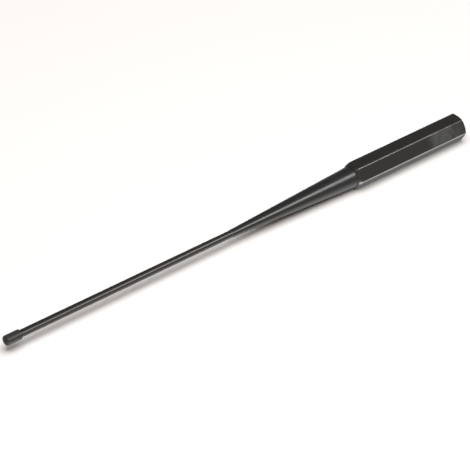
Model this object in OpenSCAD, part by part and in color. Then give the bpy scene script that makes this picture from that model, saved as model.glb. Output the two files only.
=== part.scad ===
// Long center punch: a hexagonal striking handle, a tapered shank, a slim rod
// with a ground point, and a soft cap that slides over the point.
//
// The tool lies along X on one flat of its handle, with its point towards -X.
// The origin is on the surface under it, below the middle of its length.
// Every turned shape is drawn along its own axis and laid down by on_axis().

/* [Handle] */
// Width of the hexagonal bar across its flats
hex_af = 16; // [14:0.5:22]
// Length of the handle, both chamfers included
handle_len = 89.8; // [60:0.5:140]
// How far the sharp corners of the bar are turned down, measured along the radius
corner_break = 0.2; // [0.05:0.05:0.5]
// How far inside the flats the turned front face stops
front_inset = 0.6; // [0.3:0.1:1.2]
// How far inside the flats the turned striking face stops
strike_inset = 0.2; // [0.1:0.1:1.2]
// Slope of the front chamfer to the axis, in degrees
front_slope = 30; // [20:5:60]
// Slope of the chamfer at the striking end to the axis, in degrees
strike_slope = 60; // [30:5:60]

/* [Shank] */
// Length of the taper, from its nose to the handle's front face
shank_len = 95.5; // [60:0.5:140]
// Width of the ledge left around the shank on the handle's front face
shoulder_step = 0.3; // [0.1:0.1:1]
// Width of the ledge left around the rod on the shank's nose
nose_step = 0.1; // [0.1:0.05:0.8]
// Bevel on the two edges of the taper
shank_bevel = 0.1; // [0.05:0.01:0.1]

/* [Rod] */
// Diameter of the rod
rod_d = 4.8; // [3:0.1:7]
// Length of the rod that shows when the cap is off, point included
rod_len = 164.3; // [60:1:220]
// Included angle of the ground point, in degrees
point_angle = 90; // [60:5:120]

/* [Pressed joints] */
// How much smaller the shank's spigot is than its wide end, measured along the radius
shank_spigot_step = 2.6; // [1:0.1:3.5]
// Length of the shank's spigot
shank_spigot_len = 28; // [15:1:45]
// How much smaller the rod's spigot is than the rod, measured along the radius
rod_spigot_step = 0.7; // [0.4:0.1:1]
// Length of the rod's spigot
rod_spigot_len = 20; // [10:1:35]
// Free space left at the blind end of each bore
bore_relief = 0.5; // [0.2:0.1:2]
// Lead-in bevel on the end of each spigot
spigot_bevel = 0.4; // [0.1:0.1:0.6]
// Radial clearance of the pressed joints, where 0 is line to line
press_clearance = 0; // [0:0.01:0.05]

/* [Cap] */
// Length of the cap, from its closed end to its lip
cap_len = 10.9; // [8:0.1:20]
// Wall of the cap around the rod
cap_wall = 0.8; // [0.6:0.1:2]
// Wall of the cap's closed end
cap_end_wall = 1.4; // [0.8:0.1:3]
// Radius of the crown on the closed end
cap_crown_r = 9; // [7:0.5:30]
// Radius of the rounded edge at the closed end
cap_edge_r = 1.3; // [0.3:0.1:1.4]
// Radius of the rounded edge at the lip
cap_lip_r = 0.25; // [0.1:0.05:0.3]
// Lead-in bevel inside the lip
cap_lead_in = 0.2; // [0.1:0.05:0.25]
// Radial clearance between the cap and the rod
cap_clearance = 0.05; // [0.02:0.01:0.1]
// Free space between the point and the cap's closed end
point_gap = 0.3; // [0.1:0.1:1]

/* [Hidden] */

// Steps that a full turn and a short arc are drawn in
turn_fn = 128;
arc_steps = 8;

// Radii
hex_corner_r = hex_af / sqrt(3) - corner_break;
front_face_r = hex_af / 2 - front_inset;
strike_face_r = hex_af / 2 - strike_inset;
shank_back_r = front_face_r - shoulder_step;
rod_r = rod_d / 2;
shank_nose_r = rod_r + nose_step;
shank_spigot_r = shank_back_r - shank_spigot_step;
rod_spigot_r = rod_r - rod_spigot_step;
cap_bore_r = rod_r + cap_clearance;
cap_r = cap_bore_r + cap_wall;

// Lengths that follow from a slope
front_chamfer_len = (hex_corner_r - front_face_r) / tan(front_slope);
strike_chamfer_len = (hex_corner_r - strike_face_r) / tan(strike_slope);
point_len = rod_r / tan(point_angle / 2);

// Places along X, from the closed end of the cap to the striking face
steel_len = rod_len + shank_len + handle_len;
total_len = cap_end_wall + point_gap + steel_len;
cap_end_x = -total_len / 2;
point_x = cap_end_x + cap_end_wall + point_gap;
nose_x = point_x + rod_len;
shoulder_x = nose_x + shank_len;

// Height of the axis above the surface that the tool lies on
axis_z = hex_af / 2;

// Lays a shape that stands on the origin along +X, starting at x
module on_axis(x) {
    translate([x, 0, axis_z]) rotate([0, 90, 0]) children();
}

// A solid turned from an outline of [radius, height] points
module turned(outline) {
    rotate_extrude($fn = turn_fn) polygon(outline);
}

// Points along an arc in degrees, without its end point, which the outline's next stretch gives
function arc(centre, r, from, to) = [
    for (i = [0 : arc_steps - 1])
        let (angle = from + (to - from) * i / arc_steps)
            centre + r * [cos(angle), sin(angle)]
];

// A blind bore with its mouth at height 0, for a spigot of the given size
module spigot_bore(r, len) {
    mouth_overrun = 1;
    translate([0, 0, -mouth_overrun])
        cylinder(r = r + press_clearance, h = mouth_overrun + len + bore_relief, $fn = turn_fn);
}

// The hexagonal bar with one flat downwards
module hex_bar(len) {
    rotate([0, 0, 30]) cylinder(d = 2 * hex_af / sqrt(3), h = len, $fn = 6);
}

module striking_handle() {
    color("#2e2c2c") on_axis(shoulder_x) difference() {
        intersection() {
            hex_bar(handle_len);
            turned([
                [0, 0],
                [front_face_r, 0],
                [hex_corner_r, front_chamfer_len],
                [hex_corner_r, handle_len - strike_chamfer_len],
                [strike_face_r, handle_len],
                [0, handle_len]
            ]);
        }
        spigot_bore(shank_spigot_r, shank_spigot_len);
    }
}

module tapered_shank() {
    color("#363331") on_axis(nose_x) difference() {
        turned([
            [0, 0],
            [shank_nose_r - shank_bevel, 0],
            [shank_nose_r, shank_bevel],
            [shank_back_r, shank_len - shank_bevel],
            [shank_back_r - shank_bevel, shank_len],
            [shank_spigot_r, shank_len],
            [shank_spigot_r, shank_len + shank_spigot_len - spigot_bevel],
            [shank_spigot_r - spigot_bevel, shank_len + shank_spigot_len],
            [0, shank_len + shank_spigot_len]
        ]);
        spigot_bore(rod_spigot_r, rod_spigot_len);
    }
}

module punch_rod() {
    color("#3c3a39") on_axis(point_x) turned([
        [0, 0],
        [rod_r, point_len],
        [rod_r, rod_len],
        [rod_spigot_r, rod_len],
        [rod_spigot_r, rod_len + rod_spigot_len - spigot_bevel],
        [rod_spigot_r - spigot_bevel, rod_len + rod_spigot_len],
        [0, rod_len + rod_spigot_len]
    ]);
}

// Half outline of the cap as [radius, height] points, its closed end at height 0: the
// crown and the rounded edge are arcs that run smoothly into each other and the wall
function cap_outline() =
    let (
        edge_centre = [cap_r - cap_edge_r, cap_crown_r - sqrt(
            pow(cap_crown_r - cap_edge_r, 2) - pow(cap_r - cap_edge_r, 2)
        )],
        crown_angle = asin((cap_r - cap_edge_r) / (cap_crown_r - cap_edge_r)),
        lip_centre = [cap_r - cap_lip_r, cap_len - cap_lip_r]
    )
    concat(
        arc([0, cap_crown_r], cap_crown_r, -90, crown_angle - 90),
        arc(edge_centre, cap_edge_r, crown_angle - 90, 0),
        [[cap_r, edge_centre[1]]],
        arc(lip_centre, cap_lip_r, 0, 90),
        [
            [cap_r - cap_lip_r, cap_len],
            [cap_bore_r + cap_lead_in, cap_len],
            [cap_bore_r, cap_len - cap_lead_in],
            [cap_bore_r, cap_end_wall],
            [0, cap_end_wall]
        ]
    );

module tip_cap() {
    color("#4a4947") on_axis(cap_end_x) turned(cap_outline());
}

striking_handle();
tapered_shank();
punch_rod();
tip_cap();
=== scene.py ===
"""Looks of a long center punch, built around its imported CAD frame.

The tool is a hexagonal striking handle, a tapered shank, a slim rod with a ground point and a soft
dipped cap over that point. All of it lies along X, with the point towards -X. Each of the four pieces
is one closed skin: an outline of (x, radius) points carried round the tool's axis.
"""

import logging
import math
from dataclasses import dataclass, field
from enum import Enum
from typing import Any

import bpy
import numpy as np
from mathutils import Matrix, Vector


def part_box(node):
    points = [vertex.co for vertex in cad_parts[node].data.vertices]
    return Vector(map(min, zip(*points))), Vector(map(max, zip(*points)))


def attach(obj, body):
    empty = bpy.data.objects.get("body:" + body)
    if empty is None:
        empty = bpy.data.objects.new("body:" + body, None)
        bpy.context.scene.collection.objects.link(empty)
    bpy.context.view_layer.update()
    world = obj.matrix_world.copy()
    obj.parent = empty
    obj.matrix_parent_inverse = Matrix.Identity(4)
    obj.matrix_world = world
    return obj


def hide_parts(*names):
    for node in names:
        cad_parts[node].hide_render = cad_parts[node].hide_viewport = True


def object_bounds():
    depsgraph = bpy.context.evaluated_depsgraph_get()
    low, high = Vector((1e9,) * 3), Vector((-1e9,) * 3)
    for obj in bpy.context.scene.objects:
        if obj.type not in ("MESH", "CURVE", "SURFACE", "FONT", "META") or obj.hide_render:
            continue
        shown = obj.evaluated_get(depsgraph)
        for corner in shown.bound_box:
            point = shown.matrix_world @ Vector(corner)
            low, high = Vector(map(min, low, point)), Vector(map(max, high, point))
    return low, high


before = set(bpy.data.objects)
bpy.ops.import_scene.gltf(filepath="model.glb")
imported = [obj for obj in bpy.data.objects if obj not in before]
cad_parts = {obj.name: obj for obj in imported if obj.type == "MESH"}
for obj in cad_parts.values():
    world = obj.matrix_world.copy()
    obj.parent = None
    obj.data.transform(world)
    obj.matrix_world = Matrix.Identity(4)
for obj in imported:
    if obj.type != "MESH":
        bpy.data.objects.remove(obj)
CAD_BOX = [list(corner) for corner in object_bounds()]

log = logging.getLogger("center_punch")

MM = 0.001
FULL_TURN = 2 * math.pi
HEX_SIDES = 6

# Places of the sockets that share a name on Blender's Mix node, when it mixes colours
MIX_FACTOR = 0
MIX_A = 6
MIX_B = 7
MIX_RESULT = 2
# The same when it mixes plain numbers
MIX_NUMBER_A = 2
MIX_NUMBER_B = 3
MIX_NUMBER_RESULT = 0

# Values that noise seldom leaves, where its features are coarse and where they are finer
COARSE_NOISE = (0.35, 0.65)
FINE_NOISE = (0.3, 0.7)

# Extra rows beside a rounding, in reaches from its corner. They keep the shading of the flats flat.
BESIDE = (3.0, 1.5)
# Least distance to the next corner, in distances of the outermost extra row, so that rows never cross
KEPT_APART = 2.1

# Names of the vertex attributes that the finishes read
# Edge wear, and on the handle also a painted highlight band
WEAR_AND_HIGHLIGHT = "edge_wear_and_highlight"
FACED = "faced_end"
PANEL = "blank_panel"


# ---- colours and nodes


def linear(hex_colour: str) -> tuple[float, float, float, float]:
    """Turns an sRGB hex colour into Blender's linear colour.

    Formula: a channel c up to 0.04045 becomes c / 12.92, and a brighter one ((c + 0.055) / 1.055) ^ 2.4.

    Args:
        hex_colour: the colour as "#RRGGBB".

    Returns:
        Red, green, blue and an alpha of 1.
    """
    digits = hex_colour.lstrip("#")
    srgb = np.array([int(digits[i : i + 2], 16) for i in (0, 2, 4)]) / 255
    channels = np.where(srgb <= 0.04045, srgb / 12.92, ((srgb + 0.055) / 1.055) ** 2.4)
    return (*(float(c) for c in channels), 1.0)


def add_node(
    tree: bpy.types.NodeTree,
    kind: str,
    inputs: dict[str | int, Any] | None = None,
    **settings: Any,
) -> bpy.types.Node:
    """Adds one node with its settings, its plain values and its links.

    Args:
        tree: the node tree that gets the node.
        kind: Blender's name of the node type.
        inputs: for each input, by name or place, an output socket to link or a value to set.
        **settings: the node's own properties.

    Returns:
        The new node.
    """
    node = tree.nodes.new(kind)
    for name, value in settings.items():
        setattr(node, name, value)
    for name, value in (inputs or {}).items():
        if isinstance(value, bpy.types.NodeSocket):
            tree.links.new(value, node.inputs[name])
        else:
            node.inputs[name].default_value = value
    return node


def new_material(name: str) -> tuple[bpy.types.Material, bpy.types.NodeTree]:
    """Makes an empty node material.

    Args:
        name: the material's name.

    Returns:
        The material and its node tree.
    """
    material = bpy.data.materials.new(name)
    material.use_nodes = True
    material.node_tree.nodes.clear()
    return material, material.node_tree


# ---- outlines and skins


def softened(corners: np.ndarray, reaches: list[float], steps: int = 6) -> tuple[np.ndarray, np.ndarray]:
    """Rounds the corners of an outline, for every column of the skin at once.

    Formula: a corner P whose neighbours lie in the unit directions u and v is replaced by the curve
    (1-s)^2 (P+tu) + 2s(1-s) P + s^2 (P+tv), with s from 0 to 1 and t the corner's reach, or less where a
    neighbour is near. Extra rows lie beside it at 1.5 t and 3 t, where the value of the edge runs out.

    Args:
        corners: (rows, columns, 2) array of x and radius.
        reaches: how far the rounding of each inner corner reaches, in metres, 0 for a plain corner.
        steps: spans along each rounding.

    Returns:
        The (more rows, columns, 2) outline, and for each row how much it belongs to a rounded edge.
    """
    rows = [corners[0]]
    edge = [0.0]
    for index, reach in enumerate(reaches, start=1):
        here = corners[index]
        if reach == 0:
            rows.append(here)
            edge.append(0.0)
            continue
        u = corners[index - 1] - here
        v = corners[index + 1] - here
        u_length = np.linalg.norm(u, axis=-1, keepdims=True)
        v_length = np.linalg.norm(v, axis=-1, keepdims=True)
        room = np.minimum(u_length, v_length) / (KEPT_APART * BESIDE[0])
        reach_here = np.minimum(reach, room)
        u = u / u_length * reach_here
        v = v / v_length * reach_here
        rows += [here + u * b for b in BESIDE]
        s = np.linspace(0, 1, steps + 1)[:, None, None]
        rows += list((1 - s) ** 2 * (here + u) + 2 * s * (1 - s) * here + s**2 * (here + v))
        rows += [here + v * b for b in reversed(BESIDE)]
        edge += [0.0, 0.5] + [1.0] * (steps + 1) + [0.5, 0.0]
    rows.append(corners[-1])
    edge.append(0.0)
    return np.array(rows), np.array(edge)


def filled(rows: np.ndarray, edge: np.ndarray, spacing: float) -> tuple[np.ndarray, np.ndarray]:
    """Adds rows on the long stretches of an outline, so that no span is longer than the spacing.

    Formula: a stretch gets n equal spans, where n is its mean length over the spacing, rounded up.

    Args:
        rows: (rows, columns, 2) outline.
        edge: one value for each row, carried along in the same way.
        spacing: longest span, in metres.

    Returns:
        The filled outline and its row values.
    """
    lengths = np.linalg.norm(np.diff(rows, axis=0), axis=-1).mean(axis=1)
    spans = np.maximum(1, np.ceil(lengths / spacing)).astype(int)
    start = np.repeat(np.arange(len(spans)), spans)
    part = np.arange(len(start)) - np.repeat(np.cumsum(spans) - spans, spans)
    share = part / spans[start]
    between = rows[start] + (rows[start + 1] - rows[start]) * share[:, None, None]
    values = edge[start] + (edge[start + 1] - edge[start]) * share
    return np.concatenate([between, rows[-1:]]), np.append(values, edge[-1])


def arc(centre: tuple[float, float], radius: float, start: float, stop: float, steps: int) -> np.ndarray:
    """Gives the points of an arc in the (x, radius) plane.

    Formula: x = centre x - radius cos(a) and r = centre r + radius sin(a), with a from start to stop.

    Args:
        centre: x and r of the arc's centre.
        radius: the arc's radius.
        start: first angle, in radians, 0 towards -X.
        stop: last angle.
        steps: spans along the arc.

    Returns:
        A (steps + 1, 2) array.
    """
    a = np.linspace(start, stop, steps + 1)
    return np.stack([centre[0] - radius * np.cos(a), centre[1] + radius * np.sin(a)], axis=-1)


def turned(half_section: np.ndarray, columns: int) -> tuple[np.ndarray, np.ndarray]:
    """Carries a half section round the axis, as a lathe does.

    Formula: every column holds the same points, and column i of n stands at the angle 2 pi i / n.

    Args:
        half_section: (points, 2) array of x and radius.
        columns: how many columns go round.

    Returns:
        The (points, columns, 2) outline and the columns' angles.
    """
    outline = np.repeat(half_section[:, None, :], columns, axis=1)
    return outline, np.arange(columns) * FULL_TURN / columns


@dataclass
class Skin:
    """A closed skin round the tool's axis: rows of an outline, and columns round the axis."""

    rows: np.ndarray
    angles: np.ndarray
    axis_height: float
    values: dict[str, np.ndarray] = field(default_factory=dict)

    def points(self) -> np.ndarray:
        """Works out the vertices.

        Formula: the point at x and radius r, at the angle a round the axis, is
        (x, r sin(a), axis height + r cos(a)). The first and last rows lie on the axis, one point each.

        Returns:
            The (count, 3) vertices: all the rings, then the two poles.
        """
        x = self.rows[1:-1, :, 0]
        r = self.rows[1:-1, :, 1]
        y = r * np.sin(self.angles)
        z = self.axis_height + r * np.cos(self.angles)
        rings = np.stack([x, y, z], axis=-1)
        poles = [[self.rows[end, 0, 0], 0.0, self.axis_height] for end in (0, -1)]
        return np.concatenate([rings.reshape(-1, 3), poles])

    def faces(self) -> list[list[int]]:
        """Joins the rings with four-sided faces, and closes both ends with fans of triangles.

        Returns:
            The faces, all facing outwards.
        """
        ring_count = len(self.rows) - 2
        columns = len(self.angles)
        column = np.arange(columns)
        following = (column + 1) % columns
        near = (np.arange(ring_count - 1) * columns)[:, None]
        far = near + columns
        quads = np.stack([near + column, near + following, far + following, far + column], axis=-1)
        first_pole = ring_count * columns
        last_ring = (ring_count - 1) * columns
        first_centre = np.full(columns, first_pole)
        first_fan = np.stack([first_centre, following, column], axis=-1)
        last_fan = np.stack([first_centre + 1, last_ring + column, last_ring + following], axis=-1)
        return quads.reshape(-1, 4).tolist() + first_fan.tolist() + last_fan.tolist()

    def add(self, name: str) -> bpy.types.Object:
        """Puts the skin into the scene as a smooth-shaded mesh object with its vertex values.

        Args:
            name: the piece's name.

        Returns:
            The new object, at the origin.
        """
        mesh = bpy.data.meshes.new(name)
        mesh.from_pydata(self.points().tolist(), [], self.faces())
        mesh.polygons.foreach_set("use_smooth", np.ones(len(mesh.polygons), dtype=bool))
        for key, grid in self.values.items():
            rings = np.broadcast_to(grid, self.rows.shape[:2])[1:-1].ravel()
            ends = np.broadcast_to(grid, self.rows.shape[:2])[[0, -1], 0]
            layer = mesh.attributes.new(key, "FLOAT", "POINT")
            layer.data.foreach_set("value", np.concatenate([rings, ends]).astype(np.float32))
        mesh.update()
        piece = bpy.data.objects.new(name, mesh)
        bpy.context.collection.objects.link(piece)
        return piece


def seat(piece: bpy.types.Object, body: str, node: str, material: bpy.types.Material) -> None:
    """Dresses a piece and ties it to the CAD frame.

    Args:
        piece: the piece.
        body: the CAD body that it moves with.
        node: the CAD node that it stands for.
        material: its finish.
    """
    piece.data.materials.append(material)
    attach(piece, body)
    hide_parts(node)
    log.info("%s: %d faces, rides on %s, stands for %s", piece.name, len(piece.data.polygons), body, node)


# ---- finishes


class Grain(Enum):
    """Which way the marks of making run on a steel surface."""

    ALONG = "drawn lengthwise"
    AROUND = "turned or ground round"


@dataclass(frozen=True)
class BlackenedSteel:
    """Carbon tool steel, hot blackened and oiled.

    The blackening is a magnetite film about a micrometre thick. It looks nearly black because it takes
    up most of the light, and it keeps the marks of the steel under it, so it gleams softly instead of
    looking painted. It rubs thin on edges first, where the steel shows through.
    """

    name: str
    grain: Grain
    # Colour that the oiled film reflects, and the browner and the greyer film beside it
    film: str = "#494746"
    brown_film: str = "#53483F"
    grey_film: str = "#484D50"
    # Steel that shows through on rubbed edges, and the colour of the painted highlight band under the
    # handle's side corners
    rubbed_and_highlight: str = "#98948F"
    # Blank panel, where the film was burned matt
    panel_film: str = "#686866"
    # Pitch and depth of the marks of making. Real ones are 0.02 to 0.1 mm apart, too fine to show,
    # so these are drawn several times coarser.
    grain_pitch: float = 0.45 * MM
    grain_length: float = 14 * MM
    grain_depth: float = 0.0009 * MM
    # Rings that facing leaves on the striking end, 0.5 mm apart where a lathe leaves about 0.1 mm
    facing_pitch: float = 0.5 * MM
    # Sizes of the film's blotches and flecks, and of the clouds in the panel
    blotch: float = 9 * MM
    fleck: float = 1.1 * MM
    cloud: float = 3 * MM
    # Roughness of the oiled film: smooth where the oil lies and duller where it has drained
    oiled: float = 0.19
    drained: float = 0.27
    # What the matt burn of the panel adds to that, and its faintest and strongest places
    burn_roughness: float = 0.12
    faintest_burn: float = 0.45
    strongest_burn: float = 1.45
    # Rubbing at which the film starts to go, and at which it is gone
    wear_from: float = 0.2
    wear_to: float = 1.1

    def build(self, axis_height: float) -> bpy.types.Material:
        """Builds the material.

        Args:
            axis_height: height of the tool's axis, about which the patterns are centred.

        Returns:
            The material.
        """
        material, tree = new_material(self.name)
        here = add_node(tree, "ShaderNodeTexCoord").outputs["Object"]
        grain = self._grain(tree, here, axis_height)
        blotches, flecks = (
            add_node(
                tree,
                "ShaderNodeTexNoise",
                {"Vector": here, "Scale": 1 / size, "Detail": detail, "Roughness": fineness},
            ).outputs[0]
            for size, detail, fineness in ((self.blotch, 4.0, 0.6), (self.fleck, 3.0, 0.55))
        )
        worn_and_highlight = self._wear_and_highlight(tree, flecks, blotches)
        panel = self._panel(tree, here)
        colour = self._colour(tree, blotches, flecks, worn_and_highlight, panel)
        film_roughness = add_node(
            tree,
            "ShaderNodeMapRange",
            {
                "Value": blotches,
                "From Min": COARSE_NOISE[0],
                "From Max": COARSE_NOISE[1],
                "To Min": self.oiled,
                "To Max": self.drained,
            },
        ).outputs["Result"]
        roughness = add_node(
            tree,
            "ShaderNodeMath",
            {0: panel, 1: self.burn_roughness, 2: film_roughness},
            operation="MULTIPLY_ADD",
        ).outputs["Value"]
        relief = add_node(
            tree, "ShaderNodeBump", {"Strength": 1.0, "Distance": self.grain_depth, "Height": grain}
        ).outputs["Normal"]
        shader = add_node(
            tree,
            "ShaderNodeBsdfPrincipled",
            {"Base Color": colour, "Metallic": 1.0, "Roughness": roughness, "Normal": relief},
        )
        add_node(tree, "ShaderNodeOutputMaterial", {"Surface": shader.outputs["BSDF"]})
        return material

    def _grain(
        self, tree: bpy.types.NodeTree, here: bpy.types.NodeSocket, axis_height: float
    ) -> bpy.types.NodeSocket:
        """Draws the marks of making, with facing rings on the striking end.

        Formula: noise squeezed to the grain's pitch across the marks and pulled out to their length along
        them; where the end is faced, sine waves of the distance from the axis instead.

        Args:
            tree: the material's tree.
            here: object coordinates.
            axis_height: height of the tool's axis.

        Returns:
            The height of the marks.
        """
        across = 1 / self.grain_pitch
        along = 1 / self.grain_length
        scale = (along, across, across) if self.grain is Grain.ALONG else (across, along, along)
        centred = add_node(
            tree, "ShaderNodeVectorMath", {0: here, 1: (0.0, 0.0, axis_height)}, operation="SUBTRACT"
        ).outputs["Vector"]
        stretched = add_node(tree, "ShaderNodeMapping", {"Vector": centred, "Scale": scale})
        marks = add_node(
            tree,
            "ShaderNodeTexNoise",
            {"Vector": stretched.outputs["Vector"], "Scale": 1.0, "Detail": 3.0, "Roughness": 0.5},
        ).outputs[0]
        ring_scale = 1 / (FULL_TURN * self.facing_pitch)
        rings = add_node(
            tree,
            "ShaderNodeTexWave",
            {"Vector": centred, "Scale": ring_scale, "Distortion": 0.3, "Detail": 1.0},
            wave_type="RINGS",
            rings_direction="X",
        ).outputs["Fac"]
        faced = add_node(tree, "ShaderNodeAttribute", attribute_name=FACED).outputs["Fac"]
        return add_node(
            tree,
            "ShaderNodeMix",
            {MIX_FACTOR: faced, MIX_NUMBER_A: marks, MIX_NUMBER_B: rings},
            data_type="FLOAT",
        ).outputs[MIX_NUMBER_RESULT]

    def _wear_and_highlight(
        self, tree: bpy.types.NodeTree, flecks: bpy.types.NodeSocket, blotches: bpy.types.NodeSocket
    ) -> bpy.types.NodeSocket:
        """Breaks the rubbed edges and the painted highlight band up, so that the film stays in places.

        Formula: the edge value times the sum of both noises, taken from wear_from to wear_to as 0 to 1.

        Args:
            tree: the material's tree.
            flecks: fine noise.
            blotches: coarse noise.

        Returns:
            How much bare steel shows, with the handle's painted highlight band, from 0 to 1.
        """
        edge = add_node(tree, "ShaderNodeAttribute", attribute_name=WEAR_AND_HIGHLIGHT).outputs["Fac"]
        both = add_node(tree, "ShaderNodeMath", {0: flecks, 1: blotches}, operation="ADD")
        product = add_node(
            tree, "ShaderNodeMath", {0: edge, 1: both.outputs["Value"]}, operation="MULTIPLY"
        ).outputs["Value"]
        return add_node(
            tree,
            "ShaderNodeMapRange",
            {"Value": product, "From Min": self.wear_from, "From Max": self.wear_to},
            interpolation_type="SMOOTHSTEP",
        ).outputs["Result"]

    def _panel(self, tree: bpy.types.NodeTree, here: bpy.types.NodeSocket) -> bpy.types.NodeSocket:
        """Makes the blank panel uneven, since a matt burn takes better in some places than in others.

        Formula: the panel's value times clouds of noise, which run from faintest_burn to strongest_burn.

        Args:
            tree: the material's tree.
            here: object coordinates.

        Returns:
            How strongly the panel shows.
        """
        panel = add_node(tree, "ShaderNodeAttribute", attribute_name=PANEL).outputs["Fac"]
        clouds = add_node(
            tree,
            "ShaderNodeTexNoise",
            {"Vector": here, "Scale": 1 / self.cloud, "Detail": 3.0, "Roughness": 0.6},
        ).outputs[0]
        uneven = add_node(
            tree,
            "ShaderNodeMapRange",
            {
                "Value": clouds,
                "From Min": FINE_NOISE[0],
                "From Max": FINE_NOISE[1],
                "To Min": self.faintest_burn,
                "To Max": self.strongest_burn,
            },
        ).outputs["Result"]
        return add_node(
            tree, "ShaderNodeMath", {0: panel, 1: uneven}, operation="MULTIPLY", use_clamp=True
        ).outputs["Value"]

    def _colour(
        self,
        tree: bpy.types.NodeTree,
        blotches: bpy.types.NodeSocket,
        flecks: bpy.types.NodeSocket,
        worn_and_highlight: bpy.types.NodeSocket,
        panel: bpy.types.NodeSocket,
    ) -> bpy.types.NodeSocket:
        """Mixes the film's colours, the blank panel and the bare steel.

        Formula: brown and grey film by the blotches, that and the plain film by the flecks, then the
        panel's colour over it where the panel is, and bare steel over all where it is worn and where the
        painted highlight band is.

        Args:
            tree: the material's tree.
            blotches: coarse noise.
            flecks: fine noise.
            worn_and_highlight: how much bare steel shows, with the painted highlight band.
            panel: where the blank panel is.

        Returns:
            The base colour.
        """
        tint = add_node(
            tree,
            "ShaderNodeMix",
            {MIX_FACTOR: blotches, MIX_A: linear(self.brown_film), MIX_B: linear(self.grey_film)},
            data_type="RGBA",
        ).outputs[MIX_RESULT]
        film = add_node(
            tree,
            "ShaderNodeMix",
            {MIX_FACTOR: flecks, MIX_A: linear(self.film), MIX_B: tint},
            data_type="RGBA",
        ).outputs[MIX_RESULT]
        # The last layer is bare steel on worn edges, and on the handle the painted highlight band
        for cover, paint in ((panel, self.panel_film), (worn_and_highlight, self.rubbed_and_highlight)):
            film = add_node(
                tree,
                "ShaderNodeMix",
                {MIX_FACTOR: cover, MIX_A: film, MIX_B: linear(paint)},
                data_type="RGBA",
            ).outputs[MIX_RESULT]
        return film


@dataclass(frozen=True)
class DippedVinyl:
    """Soft PVC plastisol, dip moulded and matt.

    A dipped cap has no gloss: its skin is slightly pebbled, so lights spread over it as a broad pale
    band, and handling leaves it a little dusty and greyer in places.
    """

    name: str = "dipped_matt_vinyl"
    body: str = "#1A1918"
    dusty: str = "#2A2827"
    roughness_low: float = 0.27
    roughness_high: float = 0.34
    # Index of refraction of PVC
    ior: float = 1.53
    # Pebbles of the skin: real ones are about 0.1 mm across, drawn at 0.3 mm
    pebble: float = 0.3 * MM
    pebble_depth: float = 0.012 * MM
    pebble_strength: float = 0.6
    # Size of the dusty places
    dust_patch: float = 4 * MM

    def build(self) -> bpy.types.Material:
        """Builds the material.

        Returns:
            The material.
        """
        material, tree = new_material(self.name)
        here = add_node(tree, "ShaderNodeTexCoord").outputs["Object"]
        dust = add_node(
            tree,
            "ShaderNodeTexNoise",
            {"Vector": here, "Scale": 1 / self.dust_patch, "Detail": 5.0, "Roughness": 0.65},
        ).outputs[0]
        pebbles = add_node(
            tree,
            "ShaderNodeTexVoronoi",
            {"Vector": here, "Scale": 1 / self.pebble, "Smoothness": 0.8},
            feature="SMOOTH_F1",
        ).outputs["Distance"]
        colour = add_node(
            tree,
            "ShaderNodeMix",
            {MIX_FACTOR: dust, MIX_A: linear(self.body), MIX_B: linear(self.dusty)},
            data_type="RGBA",
        ).outputs[MIX_RESULT]
        roughness = add_node(
            tree,
            "ShaderNodeMapRange",
            {"Value": dust, "To Min": self.roughness_low, "To Max": self.roughness_high},
        ).outputs["Result"]
        relief = add_node(
            tree,
            "ShaderNodeBump",
            {"Strength": self.pebble_strength, "Distance": self.pebble_depth, "Height": pebbles},
        ).outputs["Normal"]
        shader = add_node(
            tree,
            "ShaderNodeBsdfPrincipled",
            {"Base Color": colour, "Roughness": roughness, "IOR": self.ior, "Normal": relief},
        )
        add_node(tree, "ShaderNodeOutputMaterial", {"Surface": shader.outputs["BSDF"]})
        return material


# ---- the four sub-assemblies


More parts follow.
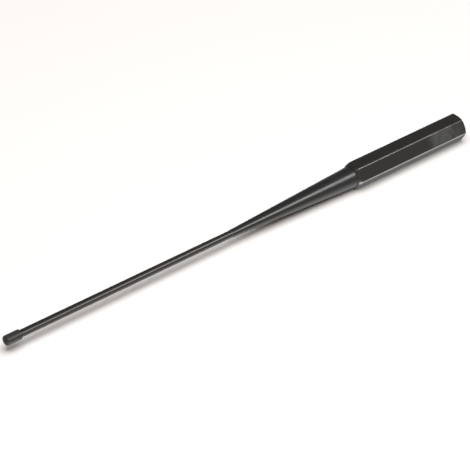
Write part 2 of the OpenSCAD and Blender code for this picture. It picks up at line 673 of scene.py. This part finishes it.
@dataclass
class StrikingHandle:
    """The hexagonal bar that is held and struck, chamfered at both ends and bored in front."""

    body: str = "punch"
    node: str = "striking_handle"
    slot: str = "handle_steel"
    front_inset: float = 0.6 * MM
    strike_inset: float = 0.2 * MM
    front_slope: float = math.radians(30)
    strike_slope: float = math.radians(60)
    bore_radius: float = 4.5 * MM
    bore_depth: float = 28.5 * MM
    # Real edges of a turned chamfer are broken by about a tenth of a millimetre
    edge_reach: float = 0.1 * MM
    corner_blend: float = 0.025 * MM
    row_spacing: float = 1.2 * MM
    flat_columns: int = 9
    edge_columns: int = 8
    # Half of the close columns' band, where a flat meets a corner
    edge_band: float = math.radians(0.8)
    # Half widths of the rubbed bands, in degrees round the axis: along the long corners, and under the
    # two corners at the sides, where a wider band in the colour of bare steel is a painted highlight
    # along the lower sides of the bar
    corner_band: float = 3.4
    painted_highlight_band: float = 14
    # Where that painted highlight band lies, in degrees from straight up
    painted_highlight_from: float = 90
    painted_highlight_to: float = 120
    # How hard the long corners and the chamfers' edges are rubbed, where the painted highlight band has 1
    corner_rub: float = 0.66
    chamfer_rub: float = 0.3
    # The blank panel lies on the upper front flat. It starts this far from the striking end, comes up
    # over the rise, and fades towards a faint rest near that end.
    panel_side: float = math.radians(-60)
    panel_start: float = 31.5 * MM
    panel_rise: float = 6.5 * MM
    panel_fade: float = 15 * MM
    panel_stop: float = 2 * MM
    panel_faint: float = 0.25
    # Half of its width and its soft edge, round the axis
    panel_half: float = math.radians(24)
    panel_edge: float = math.radians(4)

    def columns(self, half_width: float, corner_radius: float) -> np.ndarray:
        """Places the columns round the bar, closer together where a flat meets a turned-down corner.

        Formula: on half a side, even columns over the flat, close columns within edge_band of the angle
        acos(half width / corner radius) where flat and corner meet, then the corner. The other half
        mirrors it.

        Args:
            half_width: half of the width across flats.
            corner_radius: the turned-down radius at the six corners.

        Returns:
            The angles, in radians, from straight up.
        """
        meeting = math.acos(half_width / corner_radius)
        on_flat = np.linspace(0, meeting - 1.5 * self.edge_band, self.flat_columns)
        at_edge = np.linspace(meeting - self.edge_band, meeting + self.edge_band, self.edge_columns)
        half = np.concatenate([on_flat[1:], at_edge])
        side = np.concatenate([-half[::-1], [0], half, [FULL_TURN / HEX_SIDES / 2]])
        return (np.arange(HEX_SIDES)[:, None] * FULL_TURN / HEX_SIDES + side).ravel()

    def hex_radius(self, angles: np.ndarray, half_width: float, corner_radius: float) -> np.ndarray:
        """Gives the bar's radius at each angle.

        Formula: on a flat the radius is half the width over cos(a), with a the angle from the middle of
        the flat. It is held down to the corner radius by the smooth minimum
        (p + q - sqrt((p - q)^2 + blend^2)) / 2, shifted to touch the corner radius.

        Args:
            angles: the columns' angles.
            half_width: half of the width across flats.
            corner_radius: the turned-down radius at the six corners.

        Returns:
            The radius at each angle.
        """
        side = FULL_TURN / HEX_SIDES
        off_middle = (angles + side / 2) % side - side / 2
        flat = half_width / np.cos(off_middle)
        gap = flat - corner_radius
        return (flat + corner_radius - np.sqrt(gap**2 + self.corner_blend**2)) / 2

    def outline(self, low: Vector, high: Vector, bar: np.ndarray) -> np.ndarray:
        """Draws the handle's half section for each column, from the bore's end to the middle of its face.

        Formula: straight lines between the ends of the bore, the faces and the chamfers. A chamfer's long
        edge lies (bar radius - face radius) / tan(slope) from its face, so it scallops the six flats.

        Args:
            low: lowest corner of the CAD handle.
            high: highest corner of the CAD handle.
            bar: the bar's radius at each column.

        Returns:
            The (8, columns, 2) outline.
        """
        half_width = (high.z - low.z) / 2
        front_radius = half_width - self.front_inset
        strike_radius = half_width - self.strike_inset
        front_edge = low.x + (bar - front_radius) / math.tan(self.front_slope)
        strike_edge = high.x - (bar - strike_radius) / math.tan(self.strike_slope)
        corners = [
            (low.x + self.bore_depth, 0),
            (low.x + self.bore_depth, self.bore_radius),
            (low.x, self.bore_radius),
            (low.x, front_radius),
            (front_edge, bar),
            (strike_edge, bar),
            (high.x, strike_radius),
            (high.x, 0),
        ]
        return np.array([np.stack(np.broadcast_arrays(x, r, bar)[:2], axis=-1) for x, r in corners])

    def build(self, finish: BlackenedSteel) -> bpy.types.Object:
        """Builds and dresses the handle.

        Args:
            finish: its finish.

        Returns:
            The handle.
        """
        low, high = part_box(self.node)
        axis_height = (low.z + high.z) / 2
        half_width = (high.z - low.z) / 2
        corner_radius = (high.y - low.y) / 2
        angles = self.columns(half_width, corner_radius)
        outline = self.outline(low, high, self.hex_radius(angles, half_width, corner_radius))
        reaches = [0, 0, self.edge_reach, self.edge_reach, self.edge_reach, self.edge_reach]
        rows, edge = filled(*softened(outline, reaches), self.row_spacing)
        values = {
            WEAR_AND_HIGHLIGHT: self._wear_and_highlight(rows, edge, angles, half_width),
            FACED: (rows[:, :, 0] > high.x - self.edge_reach / 4).astype(float),
            PANEL: self._panel(rows, angles, high.x),
        }
        piece = Skin(rows, angles, axis_height, values).add("hex_striking_handle")
        seat(piece, self.body, self.node, finish.build(axis_height))
        return piece

    def _wear_and_highlight(
        self, rows: np.ndarray, edge: np.ndarray, angles: np.ndarray, half_width: float
    ) -> np.ndarray:
        """Says where hands and hammer rub the bar, on its long corners and its chamfers' edges, and where
        a painted highlight band lies under the two corners at its sides.

        Formula: s times exp(-(d/w)^4), with d the angle from the nearest long corner, w corner_band and s
        corner_rub, on the bar's outside only. Under the two corners at its sides w is the painted
        highlight band's width and s is 1, which makes a painted highlight band. The larger of that and
        the row's own edge value times chamfer_rub is taken.

        Args:
            rows: the outline.
            edge: how much each row belongs to a rounded edge.
            angles: the columns' angles.
            half_width: half of the width across flats.

        Returns:
            The wear, with the painted highlight band, at each vertex, from 0 to 1.
        """
        side = FULL_TURN / HEX_SIDES
        off_corner = angles % side - side / 2
        from_top = np.degrees(np.arccos(np.cos(angles)))
        # Under the two side corners the band is wider and at full strength: a painted highlight in the
        # colour of bare steel
        in_painted_highlight = (from_top > self.painted_highlight_from) & (from_top < self.painted_highlight_to)
        width = np.radians(np.where(in_painted_highlight, self.painted_highlight_band, self.corner_band))
        rub = np.where(in_painted_highlight, 1.0, self.corner_rub)
        corner = rub * np.exp(-((off_corner / width) ** 4))
        outside = rows[:, :, 1] > half_width - self.strike_inset / 2
        return np.maximum(corner * outside, self.chamfer_rub * edge[:, None])

    def _panel(self, rows: np.ndarray, angles: np.ndarray, end: float) -> np.ndarray:
        """Says where the blank panel is, with soft ends and sides.

        Formula: with q the distance from the striking end, a ramp over panel_rise from panel_start on,
        times panel_faint + (1 - panel_faint) times a ramp over panel_fade from panel_stop on, times a
        ramp over panel_edge at each side, panel_half from the middle of the flat.

        Args:
            rows: the outline.
            angles: the columns' angles.
            end: where the striking face is.

        Returns:
            The panel's strength at each vertex, from 0 to 1.
        """
        q = end - rows[:, :, 0]
        rise = np.clip((self.panel_start - q) / self.panel_rise, 0, 1)
        fade = np.clip((q - self.panel_stop) / self.panel_fade, 0, 1)
        lengthwise = rise * (self.panel_faint + (1 - self.panel_faint) * fade)
        off = np.abs((angles - self.panel_side + math.pi) % FULL_TURN - math.pi)
        crosswise = 1 - np.clip((off - self.panel_half) / self.panel_edge, 0, 1)
        return lengthwise * crosswise * (rows[:, :, 1] > self.bore_radius + self.front_inset)


@dataclass
class TaperedShank:
    """The turned taper between the handle and the rod, with a spigot behind and a bore in its nose."""

    body: str = "punch"
    node: str = "tapered_shank"
    slot: str = "shank_steel"
    nose_step: float = 0.1 * MM
    spigot_step: float = 2.6 * MM
    spigot_bevel: float = 0.4 * MM
    bore_radius: float = 1.7 * MM
    bore_depth: float = 20.5 * MM
    edge_reach: float = 0.1 * MM
    row_spacing: float = 1.5 * MM
    columns: int = 128

    def outline(self, low: Vector, high: Vector, shoulder: float, rod_radius: float) -> np.ndarray:
        """Draws the shank's half section, from its bore's end to the middle of its spigot's end.

        Formula: straight lines between the ends of the bore, the taper, the spigot and its bevel.

        Args:
            low: lowest corner of the CAD shank.
            high: highest corner of the CAD shank.
            shoulder: where the handle's front face is, along X.
            rod_radius: radius of the rod that goes into its nose.

        Returns:
            The (9, 2) half section.
        """
        back_radius = (high.z - low.z) / 2
        nose_radius = rod_radius + self.nose_step
        spigot = back_radius - self.spigot_step
        return np.array(
            [
                (low.x + self.bore_depth, 0),
                (low.x + self.bore_depth, self.bore_radius),
                (low.x, self.bore_radius),
                (low.x, nose_radius),
                (shoulder, back_radius),
                (shoulder, spigot),
                (high.x - self.spigot_bevel, spigot),
                (high.x, spigot - self.spigot_bevel),
                (high.x, 0),
            ]
        )

    def build(self, finish: BlackenedSteel, rod_radius: float) -> bpy.types.Object:
        """Builds and dresses the shank.

        Args:
            finish: its finish.
            rod_radius: radius of the rod that goes into its nose.

        Returns:
            The shank.
        """
        low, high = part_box(self.node)
        handle_low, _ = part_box(StrikingHandle.node)
        axis_height = (low.z + high.z) / 2
        outline, angles = turned(self.outline(low, high, handle_low.x, rod_radius), self.columns)
        half = self.edge_reach / 2
        reaches = [0, 0, half, self.edge_reach, 0, half, half]
        rows, edge = filled(*softened(outline, reaches), self.row_spacing)
        values = {WEAR_AND_HIGHLIGHT: edge[:, None]}
        piece = Skin(rows, angles, axis_height, values).add("turned_taper_shank")
        seat(piece, self.body, self.node, finish.build(axis_height))
        return piece


@dataclass
class SlimRod:
    """The slim ground rod with its point in front and its spigot behind."""

    body: str = "punch"
    node: str = "punch_rod"
    slot: str = "rod_steel"
    point_slope: float = math.radians(45)
    spigot_step: float = 0.7 * MM
    spigot_bevel: float = 0.4 * MM
    edge_reach: float = 0.06 * MM
    # How hard its edges are rubbed, and how softly the bright point runs into the blackened rod
    edge_rub: float = 0.8
    ground_edge: float = 0.2 * MM
    row_spacing: float = 2 * MM
    columns: int = 96
    # Comes from the CAD frame when the rod is built
    radius: float = field(default=0.0, init=False)

    def outline(self, low: Vector, high: Vector, nose: float) -> np.ndarray:
        """Draws the rod's half section, from the tip of its point to the middle of its spigot's end.

        Formula: straight lines between the ends of the point, the rod, the spigot and its bevel. The
        point is radius / tan(point slope) long.

        Args:
            low: lowest corner of the CAD rod.
            high: highest corner of the CAD rod.
            nose: where the shank's nose is, along X.

        Returns:
            The (7, 2) half section.
        """
        spigot = self.radius - self.spigot_step
        return np.array(
            [
                (low.x, 0),
                (low.x + self.radius / math.tan(self.point_slope), self.radius),
                (nose, self.radius),
                (nose, spigot),
                (high.x - self.spigot_bevel, spigot),
                (high.x, spigot - self.spigot_bevel),
                (high.x, 0),
            ]
        )

    def build(self, finish: BlackenedSteel) -> bpy.types.Object:
        """Builds and dresses the rod.

        Args:
            finish: its finish.

        Returns:
            The rod.
        """
        low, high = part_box(self.node)
        nose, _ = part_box(TaperedShank.node)
        axis_height = (low.z + high.z) / 2
        self.radius = (high.z - low.z) / 2
        outline, angles = turned(self.outline(low, high, nose.x), self.columns)
        reaches = [self.edge_reach, self.edge_reach / 2, 0, self.edge_reach, self.edge_reach]
        rows, edge = filled(*softened(outline, reaches), self.row_spacing)
        # The point is ground bright after blackening
        point = np.clip((low.x + self.radius - rows[:, :, 0]) / self.ground_edge + 1, 0, 1)
        values = {WEAR_AND_HIGHLIGHT: np.maximum(self.edge_rub * edge[:, None], point)}
        piece = Skin(rows, angles, axis_height, values).add("slim_ground_rod")
        seat(piece, self.body, self.node, finish.build(axis_height))
        return piece


@dataclass
class TipCap:
    """The soft dipped cap over the point: a crowned closed end, a rounded edge, a wall and a lip."""

    body: str = "cap"
    node: str = "tip_cap"
    slot: str = "cap_vinyl"
    end_wall: float = 1.4 * MM
    wall: float = 0.8 * MM
    crown_radius: float = 9 * MM
    edge_radius: float = 1.3 * MM
    lip_radius: float = 0.25 * MM
    lead_in: float = 0.2 * MM
    # A dipped wall is never quite even: its outside dips by this much in places
    unevenness: float = 0.03 * MM
    # How fast the two dips of the wall turn along the cap, in radians per metre
    right_twist: float = 300
    left_twist: float = 500
    row_spacing: float = 0.4 * MM
    crown_steps: int = 10
    lip_steps: int = 6
    columns: int = 128

    def outline(self, low: Vector, high: Vector) -> np.ndarray:
        """Draws the cap's half section, from the middle of its closed end to the bottom of its bore.

        Formula: a crown about a centre on the axis, an edge arc that touches the crown and the wall (its
        centre lies crown radius - edge radius from the crown's), the lip arc, the lead-in and the bore.

        Args:
            low: lowest corner of the CAD cap.
            high: highest corner of the CAD cap.

        Returns:
            The (points, 2) half section.
        """
        radius = (high.z - low.z) / 2
        bore = radius - self.wall
        edge_centre = radius - self.edge_radius
        reach = self.crown_radius - self.edge_radius
        meeting = math.asin(edge_centre / reach)
        edge_x = low.x + self.crown_radius - reach * math.cos(meeting)
        quarter = math.pi / 2
        crown = arc((low.x + self.crown_radius, 0), self.crown_radius, 0, meeting, self.crown_steps)
        edge = arc((edge_x, edge_centre), self.edge_radius, meeting, quarter, self.crown_steps)
        lip_centre = (high.x - self.lip_radius, radius - self.lip_radius)
        lip = arc(lip_centre, self.lip_radius, quarter, math.pi, self.lip_steps)
        mouth = [(high.x, bore + self.lead_in), (high.x - self.lead_in, bore)]
        bottom = [(low.x + self.end_wall, bore), (low.x + self.end_wall, 0)]
        return np.concatenate([crown, edge[1:], lip, mouth, bottom])

    def build(self, finish: DippedVinyl) -> bpy.types.Object:
        """Builds and dresses the cap.

        Formula of the uneven wall: the outside radius loses unevenness times (1 + sin(2a + right_twist x)
        cos(3a - left_twist x)) / 2, with a the angle and x in metres; the bore keeps its size.

        Args:
            finish: its finish.

        Returns:
            The cap.
        """
        low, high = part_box(self.node)
        axis_height = (low.z + high.z) / 2
        outline, angles = turned(self.outline(low, high), self.columns)
        rows, _ = filled(outline, np.zeros(len(outline)), self.row_spacing)
        x = rows[:, :, 0]
        r = rows[:, :, 1]
        bore = (high.z - low.z) / 2 - self.wall
        outside = np.clip((r - bore - self.lead_in) / (self.wall - self.lead_in), 0, 1)
        right = np.sin(2 * angles + self.right_twist * x)
        left = np.cos(3 * angles - self.left_twist * x)
        rows[:, :, 1] = r - self.unevenness * (1 + right * left) / 2 * outside
        piece = Skin(rows, angles, axis_height).add("vinyl_tip_cap")
        seat(piece, self.body, self.node, finish.build())
        return piece


# ---- the studio


def look(towards: Vector, long_axis: Vector) -> Matrix:
    """Turns a camera or light so that its -Z looks along a direction.

    Args:
        towards: the direction it looks in.
        long_axis: the direction that its X comes closest to.

    Returns:
        The 3x3 turn.
    """
    back = -towards.normalized()
    up = back.cross(long_axis).normalized()
    right = up.cross(back)
    return Matrix((right, up, back)).transposed()


@dataclass
class Studio:
    """A plain white sweep under soft light, and the camera."""

    # Camera: a long lens, a little above the front left of the tool
    azimuth: float = math.radians(-37.36)
    elevation: float = math.radians(38.55)
    distance: float = 1602.70 * MM
    lens: float = 199.15
    sensor: float = 36
    aim_right: float = -4.714 * MM
    aim_up: float = -4.143 * MM
    # Farthest that it sees, past the far edge of the floor
    sight: float = 20
    # Floor: a sheet of matt white board
    floor_half: float = 3.0
    floor_colour: str = "#EEEDEB"
    floor_roughness: float = 0.9
    floor_gloss: float = 0.2
    # Broad diffuser overhead, a little towards the front
    overhead_height: float = 1.5
    overhead_width: float = 2.0
    overhead_depth: float = 2.0
    overhead_forward: float = 0.3
    overhead_radiance: float = 4.1
    # Narrow strip at the front right, which draws the long gleam on the round steel
    strip_middle: tuple[float, float, float] = (0.40, -0.60, 0.69)
    strip_along: tuple[float, float, float] = (0.74, 0.53, 0.40)
    strip_length: float = 0.75
    strip_width: float = 0.26
    strip_radiance: float = 5.0
    # Room: pale in front and dimmer behind, with the change between these steps along Y
    room_front: float = 0.57
    room_back: float = 0.36
    room_change: tuple[float, float] = (-0.25, 0.6)
    seen_backdrop: float = 1.0
    # Table, lit from under as in a light tent: it gleams in the steel's underside, brighter in front.
    # It gives way to the room between these steps along Z.
    table_front: float = 1.75
    table_back: float = 0.36
    table_change: tuple[float, float] = (-0.4, 0.25)
    table_rise: tuple[float, float] = (-0.8, 0.0)
    # Share of the room's light that falls on matt surfaces, and its warm tint. It keeps shadows as deep
    # as under one soft box.
    room_fill: float = 0.165
    fill_colour: str = "#FFC4A6"

    def camera(self) -> None:
        """Makes the camera, aimed near the middle of the object's box."""
        low, high = (Vector(corner) for corner in CAD_BOX)
        level = math.cos(self.elevation)
        back = Vector(
            (
                math.sin(self.azimuth) * level,
                -math.cos(self.azimuth) * level,
                math.sin(self.elevation),
            )
        )
        right = Vector((math.cos(self.azimuth), math.sin(self.azimuth), 0))
        up = back.cross(right)
        aim = (low + high) / 2 + right * self.aim_right + up * self.aim_up
        data = bpy.data.cameras.new("studio_camera")
        data.lens = self.lens
        data.sensor_width = self.sensor
        data.clip_end = self.sight
        camera = bpy.data.objects.new("studio_camera", data)
        camera.matrix_world = look(-back, right).to_4x4()
        camera.location = aim + back * self.distance
        bpy.context.collection.objects.link(camera)
        bpy.context.scene.camera = camera

    def floor(self) -> None:
        """Makes the pale floor that the tool lies on."""
        h = self.floor_half
        mesh = bpy.data.meshes.new("studio_floor")
        mesh.from_pydata([(-h, -h, 0), (h, -h, 0), (h, h, 0), (-h, h, 0)], [], [(0, 1, 2, 3)])
        material, tree = new_material("matt_white_sweep")
        board = {
            "Base Color": linear(self.floor_colour),
            "Roughness": self.floor_roughness,
            "Specular IOR Level": self.floor_gloss,
        }
        shader = add_node(tree, "ShaderNodeBsdfPrincipled", board)
        add_node(tree, "ShaderNodeOutputMaterial", {"Surface": shader.outputs["BSDF"]})
        mesh.materials.append(material)
        floor = bpy.data.objects.new("studio_floor", mesh)
        bpy.context.collection.objects.link(floor)
        # The steel mirrors the room's table instead, which is brighter in front than behind
        floor.visible_glossy = False

    def light(
        self, name: str, place: Vector, turn: Matrix, size: tuple[float, float], radiance: float
    ) -> bpy.types.Object:
        """Adds an area light.

        Formula: a flat light of area S and radiance L gives the power pi S L.

        Args:
            name: its name.
            place: where it is.
            turn: its 3x3 turn.
            size: its two sizes; a disc if they are the same, else a rectangle.
            radiance: how bright it looks, where the white floor is about 1.

        Returns:
            The light's object.
        """
        data = bpy.data.lights.new(name, "AREA")
        disc = size[0] == size[1]
        data.shape = "DISK" if disc else "RECTANGLE"
        data.size = size[0]
        data.size_y = size[1]
        area = size[0] * size[1] * (math.pi / 4 if disc else 1)
        data.energy = math.pi * area * radiance
        lamp = bpy.data.objects.new(name, data)
        lamp.matrix_world = turn.to_4x4()
        lamp.location = place
        bpy.context.collection.objects.link(lamp)
        return lamp

    def lights(self) -> None:
        """Hangs the diffuser and the strip."""
        overhead_place = Vector((0, -self.overhead_forward, self.overhead_height))
        overhead = self.light(
            "overhead_diffuser",
            overhead_place,
            look(-overhead_place, Vector((1, 0, 0))),
            (self.overhead_width, self.overhead_depth),
            self.overhead_radiance,
        )
        overhead.visible_glossy = False
        strip_place = Vector(self.strip_middle)
        strip = self.light(
            "front_strip",
            strip_place,
            look(-strip_place, Vector(self.strip_along)),
            (self.strip_length, self.strip_width),
            self.strip_radiance,
        )
        strip.visible_diffuse = False

    def room(self) -> None:
        """Makes the room's light.

        Formula: a direction's light runs from room_front to room_back with its Y, and towards the ground
        from that to the table's light. Steel mirrors all of it. Matt surfaces get the share room_fill of
        it, tinted, even by way of a glossy one. Where it is seen directly it is an even white.
        """
        world = bpy.data.worlds.new("studio_room")
        world.use_nodes = True
        tree = world.node_tree
        tree.nodes.clear()
        direction = add_node(tree, "ShaderNodeTexCoord").outputs["Generated"]
        split = add_node(tree, "ShaderNodeSeparateXYZ", {"Vector": direction})
        around, table, downward = (
            add_node(
                tree,
                "ShaderNodeMapRange",
                {
                    "Value": split.outputs[axis],
                    "From Min": change[0],
                    "From Max": change[1],
                    "To Min": first,
                    "To Max": last,
                },
                interpolation_type="SMOOTHSTEP",
            ).outputs["Result"]
            for axis, change, first, last in (
                ("Y", self.room_change, self.room_front, self.room_back),
                ("Y", self.table_change, self.table_front, self.table_back),
                ("Z", self.table_rise, 1.0, 0.0),
            )
        )
        level = add_node(
            tree,
            "ShaderNodeMix",
            {MIX_FACTOR: downward, MIX_NUMBER_A: around, MIX_NUMBER_B: table},
            data_type="FLOAT",
        ).outputs[MIX_NUMBER_RESULT]
        path = add_node(tree, "ShaderNodeLightPath").outputs
        # A ray with no matt surface behind it
        direct = add_node(
            tree, "ShaderNodeMath", {0: path["Diffuse Depth"], 1: 0.5}, operation="LESS_THAN"
        ).outputs["Value"]
        mirrored = add_node(
            tree, "ShaderNodeMath", {0: path["Is Glossy Ray"], 1: direct}, operation="MULTIPLY"
        ).outputs["Value"]
        share = add_node(
            tree, "ShaderNodeMapRange", {"Value": mirrored, "To Min": self.room_fill, "To Max": 1.0}
        ).outputs["Result"]
        strength = add_node(
            tree, "ShaderNodeMath", {0: level, 1: share}, operation="MULTIPLY"
        ).outputs["Value"]
        white = linear("#FFFFFF")
        tint = add_node(
            tree,
            "ShaderNodeMix",
            {MIX_FACTOR: mirrored, MIX_A: linear(self.fill_colour), MIX_B: white},
            data_type="RGBA",
        ).outputs[MIX_RESULT]
        lit = add_node(tree, "ShaderNodeBackground", {"Color": tint, "Strength": strength}).outputs[0]
        seen = add_node(
            tree, "ShaderNodeBackground", {"Color": white, "Strength": self.seen_backdrop}
        ).outputs[0]
        both = add_node(tree, "ShaderNodeMixShader", {0: path["Is Camera Ray"], 1: lit, 2: seen})
        add_node(tree, "ShaderNodeOutputWorld", {"Surface": both.outputs[0]})
        bpy.context.scene.world = world

    def build(self) -> None:
        """Builds the whole studio and shows colours as they are, with no film curve."""
        self.camera()
        self.floor()
        self.lights()
        self.room()
        bpy.context.scene.view_settings.view_transform = "Standard"
        log.info("studio: camera, floor, room and two lights")


def main() -> None:
    """Builds the studio and the four pieces."""
    logging.basicConfig(level=logging.INFO, format="%(name)s: %(message)s")
    Studio().build()
    StrikingHandle().build(BlackenedSteel("blackened_drawn_hex_bar", Grain.ALONG))
    rod = SlimRod()
    rod.build(BlackenedSteel("blackened_ground_rod", Grain.AROUND, rubbed_and_highlight="#C6C3BF", drained=0.25))
    taper_finish = BlackenedSteel(
        "blackened_turned_taper", Grain.AROUND, film="#454544", brown_film="#4D4742", drained=0.28
    )
    TaperedShank().build(taper_finish, rod.radius)
    TipCap().build(DippedVinyl())


if __name__ == "__main__":
    main()
